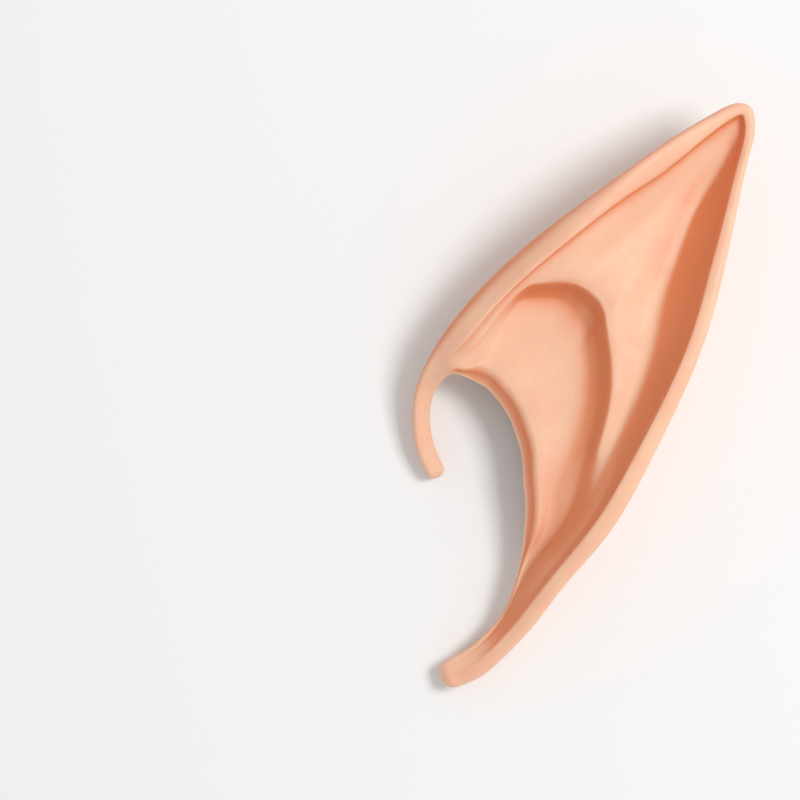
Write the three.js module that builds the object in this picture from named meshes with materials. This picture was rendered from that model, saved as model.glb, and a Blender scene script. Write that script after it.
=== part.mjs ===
// Elf ear tip: a one-piece cast latex sleeve that slips over the upper half of an ear.
//
// Seen from the front it is a C-shaped band. It starts at a thin hook beside the temple, widens
// into a long pointed blade, turns round the tip and comes down as a tapering tail to the lobe.
// Its front skin carries the rolled rim, the groove inside the rim, the ridge and the bowl, and
// its back skin is a smooth shell. The pocket for the ear lies between the skins and is open
// along the inner edge of the C, which is the notch edge.
//
// The ear lies on its back. +X points from the hook to the tip's side, +Y from the tail to the
// tip, +Z up to the viewer. The origin is the middle of the bounding box's base. Millimetres.

import * as THREE from 'three';

// Driving dimensions
const LENGTH = 112; // tail end to pointed tip, along Y
const WIDTH = 65.6; // outer side of the hook to the tip, along X
const RIM_HEIGHT = 24; // highest crest of the rolled rim above the surface it lies on
const RIDGE_HEIGHT = 18.6; // highest crest of the ridge round the bowl
const GROOVE_HEIGHT = 16; // floor of the groove between ridge and rim, beside the bowl
const BOWL_HEIGHT = 12; // floor of the bowl next to the notch
const ROLL_WIDTH = 4.6; // the rolled rim at its widest, square to the outer edge
const ROLL_DEPTH = 2.4; // how far the crease inside the rim lies below the rim's crest
const EDGE_DROP = 2.8; // how far the outermost edge lies below the rim's crest
const LIP_WIDTH = 4; // strip that turns down along the notch edge, at its widest
const LIP_DROP = 2.2; // how far that strip turns down
const LIP_RISE = 0.6; // low swelling of the bowl just inside that strip
const BACK_SETBACK = 5.5; // how far the back skin's edge lies behind the front skin's edge
const BACK_RISE = 1; // how far the back skin turns up towards its edge
const SKIN = 1.4; // thickness of the cast skin
const RIM_WALL = 2.4; // solid latex between the pocket's end and the outer edge
const SOFTNESS = 0.4; // every crest and hollow of the front skin is rounded over this distance
const PLATEAU_SOFTNESS = 4; // and over up to this distance where the skin runs out flat
const SLIT = 0.5; // narrowest gap between the two skins, where hook and tail close up
const SLIT_DEPTH = 0.7; // depth of that gap in the hook and the tail

// Outline of the band, a row for each section from the hook's end round the tip to the tail's end.
// rimX, rimY: the outer edge. notchX, notchY: the notch edge. Shares of WIDTH and LENGTH.
const outline = [
  { at: 0, rimX: 0.042, rimY: 0.366, notchX: 0.093, notchY: 0.376 },
  { at: 1.7, rimX: 0.0165, rimY: 0.4, notchX: 0.07, notchY: 0.405 },
  { at: 3.4, rimX: 0.005, rimY: 0.435, notchX: 0.056, notchY: 0.437 },
  { at: 7.3, rimX: 0.014, rimY: 0.514, notchX: 0.064, notchY: 0.5 },
  { at: 9.5, rimX: 0.044, rimY: 0.556, notchX: 0.088, notchY: 0.523 },
  { at: 12.2, rimX: 0.091, rimY: 0.602, notchX: 0.116, notchY: 0.534 },
  { at: 15.6, rimX: 0.165, rimY: 0.658, notchX: 0.139, notchY: 0.533 },
  { at: 19.8, rimX: 0.269, rimY: 0.721, notchX: 0.164, notchY: 0.528 },
  { at: 25.2, rimX: 0.412, rimY: 0.791, notchX: 0.194, notchY: 0.519 },
  { at: 31.4, rimX: 0.587, rimY: 0.866, notchX: 0.223, notchY: 0.508 },
  { at: 37.4, rimX: 0.758, rimY: 0.937, notchX: 0.245, notchY: 0.493 },
  { at: 41.9, rimX: 0.895, rimY: 0.985, notchX: 0.261, notchY: 0.482 },
  { at: 44.1, rimX: 0.969, rimY: 0.996, notchX: 0.273, notchY: 0.471 },
  { at: 44.9, rimX: 0.992, rimY: 0.986, notchX: 0.279, notchY: 0.465 },
  { at: 45.6, rimX: 0.999, rimY: 0.969, notchX: 0.284, notchY: 0.46 },
  { at: 48.5, rimX: 0.984, rimY: 0.911, notchX: 0.293, notchY: 0.449 },
  { at: 52.8, rimX: 0.95, rimY: 0.825, notchX: 0.302, notchY: 0.434 },
  { at: 57.6, rimX: 0.914, rimY: 0.729, notchX: 0.313, notchY: 0.414 },
  { at: 63.1, rimX: 0.866, rimY: 0.618, notchX: 0.322, notchY: 0.389 },
  { at: 69.5, rimX: 0.784, rimY: 0.495, notchX: 0.325, notchY: 0.354 },
  { at: 76.1, rimX: 0.682, rimY: 0.372, notchX: 0.331, notchY: 0.313 },
  { at: 82.5, rimX: 0.568, rimY: 0.258, notchX: 0.328, notchY: 0.266 },
  { at: 88.2, rimX: 0.439, rimY: 0.168, notchX: 0.316, notchY: 0.21 },
  { at: 92.4, rimX: 0.351, rimY: 0.1, notchX: 0.292, notchY: 0.158 },
  { at: 95.7, rimX: 0.269, rimY: 0.049, notchX: 0.247, notchY: 0.11 },
  { at: 98, rimX: 0.203, rimY: 0.016, notchX: 0.176, notchY: 0.069 },
  { at: 100, rimX: 0.137, rimY: -0.001, notchX: 0.107, notchY: 0.045 },
];

// Folds of the front skin: where the bowl's wall starts (foot) and where the ridge's crest and
// the groove's floor lie, as shares of the way from the notch edge to the outer edge. cove: the
// share of its height that the wall between groove and crease has gained at its bend; under
// WALL_BEND it is hollow. roll: the rolled rim's width, a share of ROLL_WIDTH.
const folds = [
  { at: 0, foot: 0.3, ridge: 0.34, groove: 0.38, cove: 0.5, roll: 0.4 },
  { at: 7.3, foot: 0.28, ridge: 0.32, groove: 0.36, cove: 0.5, roll: 0.42 },
  { at: 12.2, foot: 0.27, ridge: 0.32, groove: 0.37, cove: 0.5, roll: 0.68 },
  { at: 15.6, foot: 0.2, ridge: 0.29, groove: 0.36, cove: 0.5, roll: 0.92 },
  { at: 19.8, foot: 0.21, ridge: 0.37, groove: 0.45, cove: 0.5, roll: 1 },
  { at: 22.5, foot: 0.33, ridge: 0.5, groove: 0.545, cove: 0.5, roll: 1 },
  { at: 25.2, foot: 0.48, ridge: 0.585, groove: 0.615, cove: 0.5, roll: 1 },
  { at: 28.3, foot: 0.475, ridge: 0.554, groove: 0.635, cove: 0.48, roll: 1 },
  { at: 31.4, foot: 0.435, ridge: 0.51, groove: 0.64, cove: 0.45, roll: 0.96 },
  { at: 37.4, foot: 0.37, ridge: 0.444, groove: 0.62, cove: 0.45, roll: 0.94 },
  { at: 41.9, foot: 0.32, ridge: 0.396, groove: 0.65, cove: 0.42, roll: 0.9 },
  { at: 44.1, foot: 0.3, ridge: 0.379, groove: 0.7, cove: 0.42, roll: 0.6 },
  { at: 45.6, foot: 0.3, ridge: 0.382, groove: 0.735, cove: 0.44, roll: 0.48 },
  { at: 48.5, foot: 0.3, ridge: 0.398, groove: 0.735, cove: 0.45, roll: 0.48 },
  { at: 52.8, foot: 0.31, ridge: 0.424, groove: 0.69, cove: 0.45, roll: 0.56 },
  { at: 57.6, foot: 0.32, ridge: 0.455, groove: 0.66, cove: 0.44, roll: 0.68 },
  { at: 63.1, foot: 0.315, ridge: 0.484, groove: 0.635, cove: 0.42, roll: 0.7 },
  { at: 69.5, foot: 0.3, ridge: 0.508, groove: 0.615, cove: 0.42, roll: 0.74 },
  { at: 76.1, foot: 0.285, ridge: 0.52, groove: 0.62, cove: 0.48, roll: 0.8 },
  { at: 82.5, foot: 0.31, ridge: 0.46, groove: 0.59, cove: 0.5, roll: 0.78 },
  { at: 88.2, foot: 0.13, ridge: 0.3, groove: 0.46, cove: 0.5, roll: 0.72 },
  { at: 92.4, foot: 0.08, ridge: 0.21, groove: 0.33, cove: 0.6, roll: 0.72 },
  { at: 95.7, foot: 0.08, ridge: 0.19, groove: 0.27, cove: 0.6, roll: 0.64 },
  { at: 98, foot: 0.1, ridge: 0.21, groove: 0.28, cove: 0.6, roll: 0.6 },
  { at: 100, foot: 0.2, ridge: 0.26, groove: 0.32, cove: 0.5, roll: 0.5 },
];

// Their heights, as shares of RIM_HEIGHT, ROLL_DEPTH, RIDGE_HEIGHT, GROOVE_HEIGHT and BOWL_HEIGHT
const heights = [
  { at: 0, rimZ: 0.175, creaseZ: 0.02, ridgeZ: 0.22, grooveZ: 0.26, bowlZ: 0.34 },
  { at: 7.3, rimZ: 0.33, creaseZ: 0.03, ridgeZ: 0.42, grooveZ: 0.49, bowlZ: 0.645 },
  { at: 12.2, rimZ: 0.52, creaseZ: 0.08, ridgeZ: 0.66, grooveZ: 0.767, bowlZ: 1 },
  { at: 15.6, rimZ: 0.62, creaseZ: 0.3, ridgeZ: 0.73, grooveZ: 0.871, bowlZ: 1.06 },
  { at: 19.8, rimZ: 0.72, creaseZ: 0.5, ridgeZ: 0.81, grooveZ: 0.976, bowlZ: 1.06 },
  { at: 22.5, rimZ: 0.795, creaseZ: 0.6, ridgeZ: 0.87, grooveZ: 1.06, bowlZ: 1.04 },
  { at: 25.2, rimZ: 0.87, creaseZ: 0.7, ridgeZ: 0.95, grooveZ: 1.15, bowlZ: 1.01 },
  { at: 28.3, rimZ: 0.93, creaseZ: 0.7, ridgeZ: 0.99, grooveZ: 1.22, bowlZ: 1 },
  { at: 31.4, rimZ: 0.96, creaseZ: 0.7, ridgeZ: 1, grooveZ: 1.26, bowlZ: 1 },
  { at: 37.4, rimZ: 0.905, creaseZ: 0.7, ridgeZ: 0.99, grooveZ: 1.2, bowlZ: 1 },
  { at: 41.9, rimZ: 0.815, creaseZ: 0.7, ridgeZ: 0.97, grooveZ: 1.05, bowlZ: 1 },
  { at: 44.1, rimZ: 0.78, creaseZ: 0.7, ridgeZ: 0.97, grooveZ: 0.94, bowlZ: 1 },
  { at: 45.6, rimZ: 0.775, creaseZ: 0.7, ridgeZ: 0.96, grooveZ: 0.87, bowlZ: 1 },
  { at: 48.5, rimZ: 0.82, creaseZ: 0.7, ridgeZ: 0.96, grooveZ: 0.84, bowlZ: 1 },
  { at: 52.8, rimZ: 0.88, creaseZ: 0.7, ridgeZ: 0.95, grooveZ: 0.87, bowlZ: 1 },
  { at: 57.6, rimZ: 0.95, creaseZ: 0.7, ridgeZ: 0.94, grooveZ: 0.95, bowlZ: 1 },
  { at: 63.1, rimZ: 1, creaseZ: 0.7, ridgeZ: 0.93, grooveZ: 1, bowlZ: 1 },
  { at: 69.5, rimZ: 0.985, creaseZ: 0.7, ridgeZ: 0.89, grooveZ: 1.02, bowlZ: 0.97 },
  { at: 76.1, rimZ: 0.92, creaseZ: 0.7, ridgeZ: 0.78, grooveZ: 1.04, bowlZ: 0.9 },
  { at: 82.5, rimZ: 0.78, creaseZ: 0.6, ridgeZ: 0.65, grooveZ: 0.92, bowlZ: 0.79 },
  { at: 88.2, rimZ: 0.6, creaseZ: 0.5, ridgeZ: 0.5, grooveZ: 0.7, bowlZ: 0.6 },
  { at: 92.4, rimZ: 0.46, creaseZ: 0.3, ridgeZ: 0.425, grooveZ: 0.55, bowlZ: 0.55 },
  { at: 95.7, rimZ: 0.35, creaseZ: 0.15, ridgeZ: 0.336, grooveZ: 0.422, bowlZ: 0.46 },
  { at: 98, rimZ: 0.28, creaseZ: 0.08, ridgeZ: 0.3, grooveZ: 0.36, bowlZ: 0.43 },
  { at: 100, rimZ: 0.21, creaseZ: 0.02, ridgeZ: 0.255, grooveZ: 0.3, bowlZ: 0.38 },
];

// Back skin and pocket. belly: where the back is lowest, as a share of the way to the outer edge.
// baseZ: its height there, a share of RIM_HEIGHT. fall: how far the side drops straight down
// before it turns in, a share of the drop. setback: share of BACK_SETBACK. pocket: 1 where the
// skins stand their full way apart, 0 where they are closed up.
const back = [
  { at: 0, belly: 0.5, baseZ: 0, fall: 0.5, setback: 0, pocket: 0 },
  { at: 7.3, belly: 0.5, baseZ: 0.12, fall: 0.5, setback: 0, pocket: 0 },
  { at: 12.2, belly: 0.5, baseZ: 0.17, fall: 0.5, setback: 0.1, pocket: 0.15 },
  { at: 19.8, belly: 0.5, baseZ: 0.09, fall: 0.4, setback: 0.7, pocket: 1 },
  { at: 31.4, belly: 0.5, baseZ: 0, fall: 0.25, setback: 1, pocket: 1 },
  { at: 41.9, belly: 0.53, baseZ: 0, fall: 0.15, setback: 1, pocket: 1 },
  { at: 45.6, belly: 0.55, baseZ: 0, fall: 0.15, setback: 1, pocket: 1 },
  { at: 52.8, belly: 0.54, baseZ: 0, fall: 0.2, setback: 1, pocket: 1 },
  { at: 63.1, belly: 0.52, baseZ: 0, fall: 0.25, setback: 1, pocket: 1 },
  { at: 76.1, belly: 0.48, baseZ: 0, fall: 0.35, setback: 0.8, pocket: 1 },
  { at: 88.2, belly: 0.5, baseZ: 0.14, fall: 0.5, setback: 0.2, pocket: 0.5 },
  { at: 95.7, belly: 0.5, baseZ: 0.07, fall: 0.5, setback: 0, pocket: 0 },
  { at: 100, belly: 0.5, baseZ: 0, fall: 0.5, setback: 0, pocket: 0 },
];

// Steps of the faceted skin
const STEPS_PER_ROW = 2; // sections from one outline row to the next
// Mark to mark over the front: lip (2), bowl (2), its wall (2), ridge, the rim's wall (2), roll
const FRONT_STEPS = [1, 2, 1, 2, 2, 3, 3, 2, 3, 2];
const EDGE_STEPS = 3; // from the rim's crest to the outer edge
const SIDE_STEPS = 8; // from the outer edge to the lowest line of the back
const BACK_STEPS = 4; // from there to the back skin's edge
const POCKET_BACK_STEPS = 8; // along the pocket's back side
const POCKET_FRONT_STEPS = [1, 1, 1, 1, 1, 2]; // along its front side, mark by mark out to the ridge
const POCKET_END_STEPS = 6; // from the ridge to the pocket's end
const CAP_STEPS = 3; // along the rounded ends of hook and tail
const ROUNDING_STEPS = 4; // round the edge of a skin

const mix = (a, b, share) => a + (b - a) * share;

// A curve through given points, with the tangents that a rule works out for all of them
function curveThrough(places, values, tangentRule) {
  const spans = [];
  const slopes = [];
  for (let i = 0; i + 1 < places.length; i += 1) {
    spans.push(places[i + 1] - places[i]);
    slopes.push((values[i + 1] - values[i]) / spans[i]);
  }
  const tangents = tangentRule(spans, slopes);
  return (place) => {
    let i = 0;
    while (i < spans.length - 1 && place > places[i + 1]) i += 1;
    const t = (place - places[i]) / spans[i];
    const rest = 1 - t;
    return (
      values[i] * rest * rest * (1 + 2 * t) +
      tangents[i] * spans[i] * t * rest * rest +
      values[i + 1] * t * t * (1 + 2 * rest) -
      tangents[i + 1] * spans[i] * t * t * rest
    );
  };
}

// Tangents of a spline whose bend never jumps. Each row asks for one bend on both sides of a
// point; the rows are cleared downwards and then solved upwards.
function roundTangents(spans, slopes) {
  const rows = [{ lower: 0, middle: 2, upper: 1, sum: 3 * slopes[0] }];
  for (let i = 1; i < spans.length; i += 1) {
    const before = spans[i - 1];
    const after = spans[i];
    const sum = 3 * (after * slopes[i - 1] + before * slopes[i]);
    rows.push({ lower: after, middle: 2 * (before + after), upper: before, sum });
  }
  rows.push({ lower: 1, middle: 2, upper: 0, sum: 3 * slopes[slopes.length - 1] });
  for (let i = 1; i < rows.length; i += 1) {
    const share = rows[i].lower / rows[i - 1].middle;
    rows[i].middle -= share * rows[i - 1].upper;
    rows[i].sum -= share * rows[i - 1].sum;
  }
  const tangents = [];
  for (let i = rows.length - 1; i >= 0; i -= 1) {
    const following = tangents[0] ?? 0;
    tangents.unshift((rows[i].sum - rows[i].upper * following) / rows[i].middle);
  }
  return tangents;
}

// Level at every crest and hollow, so that heights never swing past their rows
function levelTangents(spans, slopes) {
  const tangents = [slopes[0]];
  for (let i = 1; i < spans.length; i += 1) {
    const slopeBefore = slopes[i - 1];
    const slopeAfter = slopes[i];
    const weightBefore = spans[i - 1] + 2 * spans[i];
    const weightAfter = spans[i] + 2 * spans[i - 1];
    const mean = (weightBefore + weightAfter) / (weightBefore / slopeBefore + weightAfter / slopeAfter);
    tangents.push(slopeBefore * slopeAfter > 0 ? mean : 0);
  }
  tangents.push(slopes[slopes.length - 1]);
  return tangents;
}

function columns(table, tangentRule) {
  const places = table.map((row) => row.at);
  const curves = {};
  for (const name of Object.keys(table[0])) {
    curves[name] = curveThrough(places, table.map((row) => row[name]), tangentRule);
  }
  return curves;
}

const plan = columns(outline, roundTangents);
const front = { ...columns(folds, roundTangents), ...columns(heights, roundTangents) };
const rear = columns(back, levelTangents);
const LAST = outline[outline.length - 1].at;

const outerEdge = (at) => new THREE.Vector2(plan.rimX(at) * WIDTH, plan.rimY(at) * LENGTH);
const notchEdge = (at) => new THREE.Vector2(plan.notchX(at) * WIDTH, plan.notchY(at) * LENGTH);

// How squarely the section at this station meets an edge of the band: 1 is square
const SQUARE_STEP = 0.2;
const LEAST_SQUARE = 0.35;
function squareness(edge, at) {
  const ahead = edge(Math.min(at + SQUARE_STEP, LAST));
  const along = ahead.sub(edge(Math.max(at - SQUARE_STEP, 0))).normalize();
  const across = outerEdge(at).sub(notchEdge(at)).normalize();
  return Math.max(Math.abs(along.cross(across)), LEAST_SQUARE);
}

// How far places along a section lie from the nearest stretch of the outer edge
const EDGE_PIECES = 400;
const SECTION_SAMPLES = 240;
const upright = (flat, z = 0) => new THREE.Vector3(flat.x, flat.y, z);
const edgeSpot = (k) => upright(outerEdge((k / EDGE_PIECES) * LAST));
const edgeLine = [];
for (let k = 0; k < EDGE_PIECES; k += 1) {
  edgeLine.push(new THREE.Line3(edgeSpot(k), edgeSpot(k + 1)));
}

function edgeDistances(at, span) {
  const from = notchEdge(at);
  const across = outerEdge(at).sub(from).normalize();
  const sampleStep = span / (SECTION_SAMPLES - 1);
  const samples = [];
  const nearest = new THREE.Vector3();
  for (let k = 0; k < SECTION_SAMPLES; k += 1) {
    const place = upright(across.clone().multiplyScalar(k * sampleStep).add(from));
    const distances = edgeLine.map((piece) => {
      piece.closestPointToPoint(place, true, nearest);
      return nearest.distanceTo(place);
    });
    samples.push(Math.min(...distances));
  }
  const distanceAt = (a) => {
    const i = Math.min(Math.max(Math.floor(a / sampleStep), 0), SECTION_SAMPLES - 2);
    return mix(samples[i], samples[i + 1], Math.min(Math.max(a / sampleStep - i, 0), 1));
  };
  const placeAt = (distance) => {
    const i = Math.max(samples.findIndex((sample) => sample <= distance), 1);
    return sampleStep * (i - 1 + (samples[i - 1] - distance) / (samples[i - 1] - samples[i]));
  };
  return { distanceAt, placeAt };
}

// Height of the front skin over one section, as a function of the distance from the notch edge
const LIP_SHARE = 0.65; // it also stays narrower than this share of the way to the wall's foot
const CROWN_SHARE = 0.48; // the rim's crest lies this share of the way from outer edge to crease
const OUTER_FLATNESS = 2.2; // 2 makes the roll's outer flank round; more flattens its crest
const INNER_FLATNESS = 3; // likewise its inner flank
const LIP_BEND = 0.5; // the lip is rounded: this share of the way in from its edge
const LIP_COVE = 0.62; // it has gained this share of its height
const BOWL_BEND = 0.5; // the bowl's wall is hollow: this share of the way up from its foot
const BOWL_COVE = 0.3; // it has gained this share of its height
const WALL_BEND = 0.6; // the rim's wall bends at this share of the way from groove to crease
const FOOT_RISE = 0.4; // start of the bowl's wall above the bowl's floor, in millimetres
const SPREAD = 0.7; // how fast the rounding widens away from ridge and crease
const TAPS = 4; // the rounding weighs heights this many steps out, the nearer ones more
function frontProfile(at, span) {
  const { distanceAt, placeAt } = edgeDistances(at, span);
  const roll = front.roll(at) * ROLL_WIDTH;
  const crease = placeAt(roll);
  const crown = placeAt(roll * CROWN_SHARE);
  const foot = front.foot(at) * span;
  const lip = 1 / Math.hypot(1 / LIP_WIDTH, 1 / (LIP_SHARE * foot));
  const rim = front.rimZ(at) * RIM_HEIGHT;
  const bowl = front.bowlZ(at) * BOWL_HEIGHT;
  const lipShare = lip / LIP_WIDTH;
  const lipEdgeZ = bowl - LIP_DROP * lipShare;
  const lipZ = bowl + LIP_RISE * lipShare;
  const footZ = bowl + FOOT_RISE * lipShare;
  const ridge = front.ridge(at) * span;
  const ridgeZ = front.ridgeZ(at) * RIDGE_HEIGHT;
  const groove = front.groove(at) * span;
  const grooveZ = front.grooveZ(at) * GROOVE_HEIGHT;
  const creaseZ = rim - front.creaseZ(at) * ROLL_DEPTH;
  const edge = rim - EDGE_DROP * Math.min(front.roll(at), 1);
  const profile = [
    { a: 0, z: lipEdgeZ },
    { a: LIP_BEND * lip, z: mix(lipEdgeZ, lipZ, LIP_COVE) },
    { a: lip, z: lipZ },
    { a: (lip + foot) / 2, z: bowl },
    { a: foot, z: footZ },
    { a: mix(foot, ridge, BOWL_BEND), z: mix(footZ, ridgeZ, BOWL_COVE) },
    { a: ridge, z: ridgeZ },
    { a: groove, z: grooveZ },
    { a: mix(groove, crease, WALL_BEND), z: mix(grooveZ, creaseZ, front.cove(at)) },
    { a: crease, z: creaseZ },
  ];
  const places = profile.map((point) => point.a);
  const inner = curveThrough(places, profile.map((point) => point.z), levelTangents);
  const flank = (share, baseZ, flatness) => {
    const away = Math.min(Math.max(share, 0), 1);
    return mix(baseZ, rim, (1 - away ** flatness) ** (1 / flatness));
  };
  const sharp = (a) => {
    if (a < crease) return inner(a);
    const share = distanceAt(a) / roll;
    if (a < crown) return flank((share - CROWN_SHARE) / (1 - CROWN_SHARE), creaseZ, INNER_FLATNESS);
    return flank((CROWN_SHARE - share) / CROWN_SHARE, edge, OUTER_FLATNESS);
  };
  const height = (a) => {
    if (a > crown) return sharp(a);
    const room = SPREAD * Math.min(Math.abs(a - ridge), Math.abs(crease - a));
    const flat = Math.min(Math.max(room, SOFTNESS), PLATEAU_SOFTNESS);
    const widest = a > ridge && a < crease ? flat : SOFTNESS;
    const blur = Math.min(Math.max(Math.min(a, crown - a), 0), widest);
    let sum = 0;
    for (let k = 1 - TAPS; k < TAPS; k += 1) {
      sum += (TAPS - Math.abs(k)) * sharp(a + (blur * k) / TAPS);
    }
    return sum / TAPS ** 2;
  };
  return { places: [...places, crown], height, crown, edge };
}

// The back skin: a Bezier from the outer edge down to the belly, then a slow rise to its own edge
const TURN_IN = 0.4; // how far the curve runs level into the belly, a share of its width
const HALVINGS = 30; // of the search for the curve's height above a place
function backProfile(at, span, edge, start) {
  const belly = rear.belly(at) * span;
  const base = rear.baseZ(at) * RIM_HEIGHT;
  const side = new THREE.CubicBezierCurve(
    new THREE.Vector2(span, edge),
    new THREE.Vector2(span, mix(edge, base, rear.fall(at))),
    new THREE.Vector2(mix(belly, span, TURN_IN), base),
    new THREE.Vector2(belly, base),
  );
  const height = (a) => {
    if (a < belly) return base + BACK_RISE * ((belly - a) / (belly - start)) ** 2;
    let low = 0;
    let high = 1;
    for (let i = 0; i < HALVINGS; i += 1) {
      const middle = (low + high) / 2;
      if (side.getPoint(middle).x > a) low = middle;
      else high = middle;
    }
    return side.getPoint(low).y;
  };
  return { side, belly, height };
}

// One closed section: front skin, back skin, then the two faces of the pocket.
// Every point is a distance from the notch edge and a height.
const NOSE = 0.35; // the rounded edge of a skin takes this share of its thickness
const NOSE_SHARE = 0.6; // and at most this share of the narrow strip that turns down
const THICKEST = 2.2; // vertical thickness on steep walls, as a multiple of SKIN
const END_SHARE = 0.8; // in a short pocket the ridge's mark moves in to this share of its depth
const END_POWER = 6; // how late the pocket narrows to its end
const SEARCH_STEPS = 200;
const SLOPE_STEP = 0.05;
function sectionLoop(at) {
  const span = outerEdge(at).distanceTo(notchEdge(at));
  const notchSquare = squareness(notchEdge, at);
  const outerSquare = squareness(outerEdge, at);
  const pocket = rear.pocket(at);
  const start = rear.setback(at) * BACK_SETBACK;
  const top = frontProfile(at, span);
  const nose = Math.min(NOSE * SKIN, NOSE_SHARE * top.places[1]);
  const bottom = backProfile(at, span, top.edge, start);

  const thickness = (height, a) => {
    const rise = (height(a + SLOPE_STEP) - height(a - SLOPE_STEP)) / (2 * SLOPE_STEP);
    const slope = rise / mix(notchSquare, outerSquare, a / span);
    return SKIN * Math.min(Math.sqrt(1 + slope * slope), THICKEST);
  };
  const ceiling = (a) => top.height(a) - thickness(top.height, a);
  const floor = (a) => bottom.height(a) + thickness(bottom.height, a);

  // The pocket runs outwards until the skins meet
  const farthest = span - RIM_WALL / outerSquare;
  const firstReach = nose + SLIT_DEPTH;
  let reach = start + firstReach;
  const searchStep = span / SEARCH_STEPS;
  while (reach + searchStep < farthest && ceiling(reach) - floor(reach) > SLIT) reach += searchStep;
  const end = mix(start + firstReach, reach, pocket);
  const gapAt = (a) => {
    const free = Math.max(ceiling(a) - floor(a), SLIT);
    const along = Math.min(Math.max((a - nose) / (end - nose), 0), 1);
    return mix(SLIT, free, pocket) * Math.sqrt(1 - along ** END_POWER);
  };
  const middleAt = (a) => {
    const closed = (top.height(a) + bottom.height(a)) / 2;
    const open = (ceiling(a) + floor(a)) / 2;
    return mix(closed, open, pocket);
  };
  const pocketTop = (a) => middleAt(a) + gapAt(a) / 2;
  const pocketBottom = (a) => middleAt(a) - gapAt(a) / 2;

  const loop = [];
  const add = (a, z) => loop.push([a, z]);
  const addRounding = (a, from, to) => {
    for (let k = 1; k < ROUNDING_STEPS; k += 1) {
      const turn = (k / ROUNDING_STEPS) * Math.PI;
      add(a + nose * (1 - Math.sin(turn)), mix(from, to, (1 - Math.cos(turn)) / 2));
    }
  };

  // Front skin from the notch edge to the rim's crest, then round to the outer edge
  const marks = [nose, ...top.places.slice(1)];
  FRONT_STEPS.forEach((steps, i) => {
    for (let k = 0; k < steps; k += 1) {
      const a = mix(marks[i], marks[i + 1], k / steps);
      add(a, top.height(a));
    }
  });
  for (let k = 0; k < EDGE_STEPS; k += 1) {
    const turn = (k / EDGE_STEPS) * (Math.PI / 2);
    const a = mix(top.crown, span, Math.sin(turn));
    add(a, top.height(a));
  }
  // Back skin from the outer edge to the belly and on to its own edge
  for (let k = 0; k < SIDE_STEPS; k += 1) {
    const point = bottom.side.getPoint(k / SIDE_STEPS);
    add(point.x, point.y);
  }
  for (let k = 0; k <= BACK_STEPS; k += 1) {
    const a = mix(bottom.belly, start + nose, k / BACK_STEPS);
    add(a, bottom.height(a));
  }
  addRounding(start, bottom.height(start + nose), pocketBottom(start + nose));
  // Pocket: in along the back skin, round its end, out along the front skin
  for (let k = 0; k < POCKET_BACK_STEPS; k += 1) {
    const a = mix(start + nose, end, Math.sin((k / POCKET_BACK_STEPS) * (Math.PI / 2)));
    add(a, pocketBottom(a));
  }
  add(end, middleAt(end));
  const ridgeMark = marks[POCKET_FRONT_STEPS.length];
  const shrink = Math.min((END_SHARE * (end - nose)) / (ridgeMark - nose), 1);
  const drawnIn = (a) => mix(nose, a, shrink);
  const frontPlaces = [];
  POCKET_FRONT_STEPS.forEach((steps, i) => {
    for (let k = 0; k < steps; k += 1) {
      frontPlaces.push(drawnIn(mix(marks[i], marks[i + 1], k / steps)));
    }
  });
  const ridge = drawnIn(ridgeMark);
  for (let k = 0; k < POCKET_END_STEPS; k += 1) {
    frontPlaces.push(mix(ridge, end, Math.sin((k / POCKET_END_STEPS) * (Math.PI / 2))));
  }
  frontPlaces.reverse().forEach((a) => add(a, pocketTop(a)));
  addRounding(0, pocketTop(nose), top.height(nose));
  return loop;
}

// A section's loop, stood up on its line across the band
function sectionRing(at) {
  const from = notchEdge(at);
  const across = outerEdge(at).sub(from).normalize();
  return sectionLoop(at).map(([a, z]) => {
    return upright(across.clone().multiplyScalar(a).add(from), z);
  });
}

// Rounded end of the hook or the tail: rings that shrink to a point, the last one first
const CAP_SHARE = 0.48; // length of the rounded end as a share of the width there
function endCap(at, turn) {
  const ring = sectionRing(at);
  const middle = new THREE.Box3().setFromPoints(ring).getCenter(new THREE.Vector3());
  const across = outerEdge(at).sub(notchEdge(at));
  const reach = across.length() * CAP_SHARE;
  const away = new THREE.Vector3(across.y, -across.x, 0).normalize().multiplyScalar(turn * reach);
  const rings = [];
  for (let k = 1; k < CAP_STEPS; k += 1) {
    const angle = (k / CAP_STEPS) * (Math.PI / 2);
    const shift = away.clone().multiplyScalar(Math.sin(angle));
    const drawIn = (point) => middle.clone().lerp(point, Math.cos(angle)).add(shift);
    rings.push(ring.map(drawIn));
  }
  return { rings, pole: middle.clone().add(away) };
}

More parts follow.
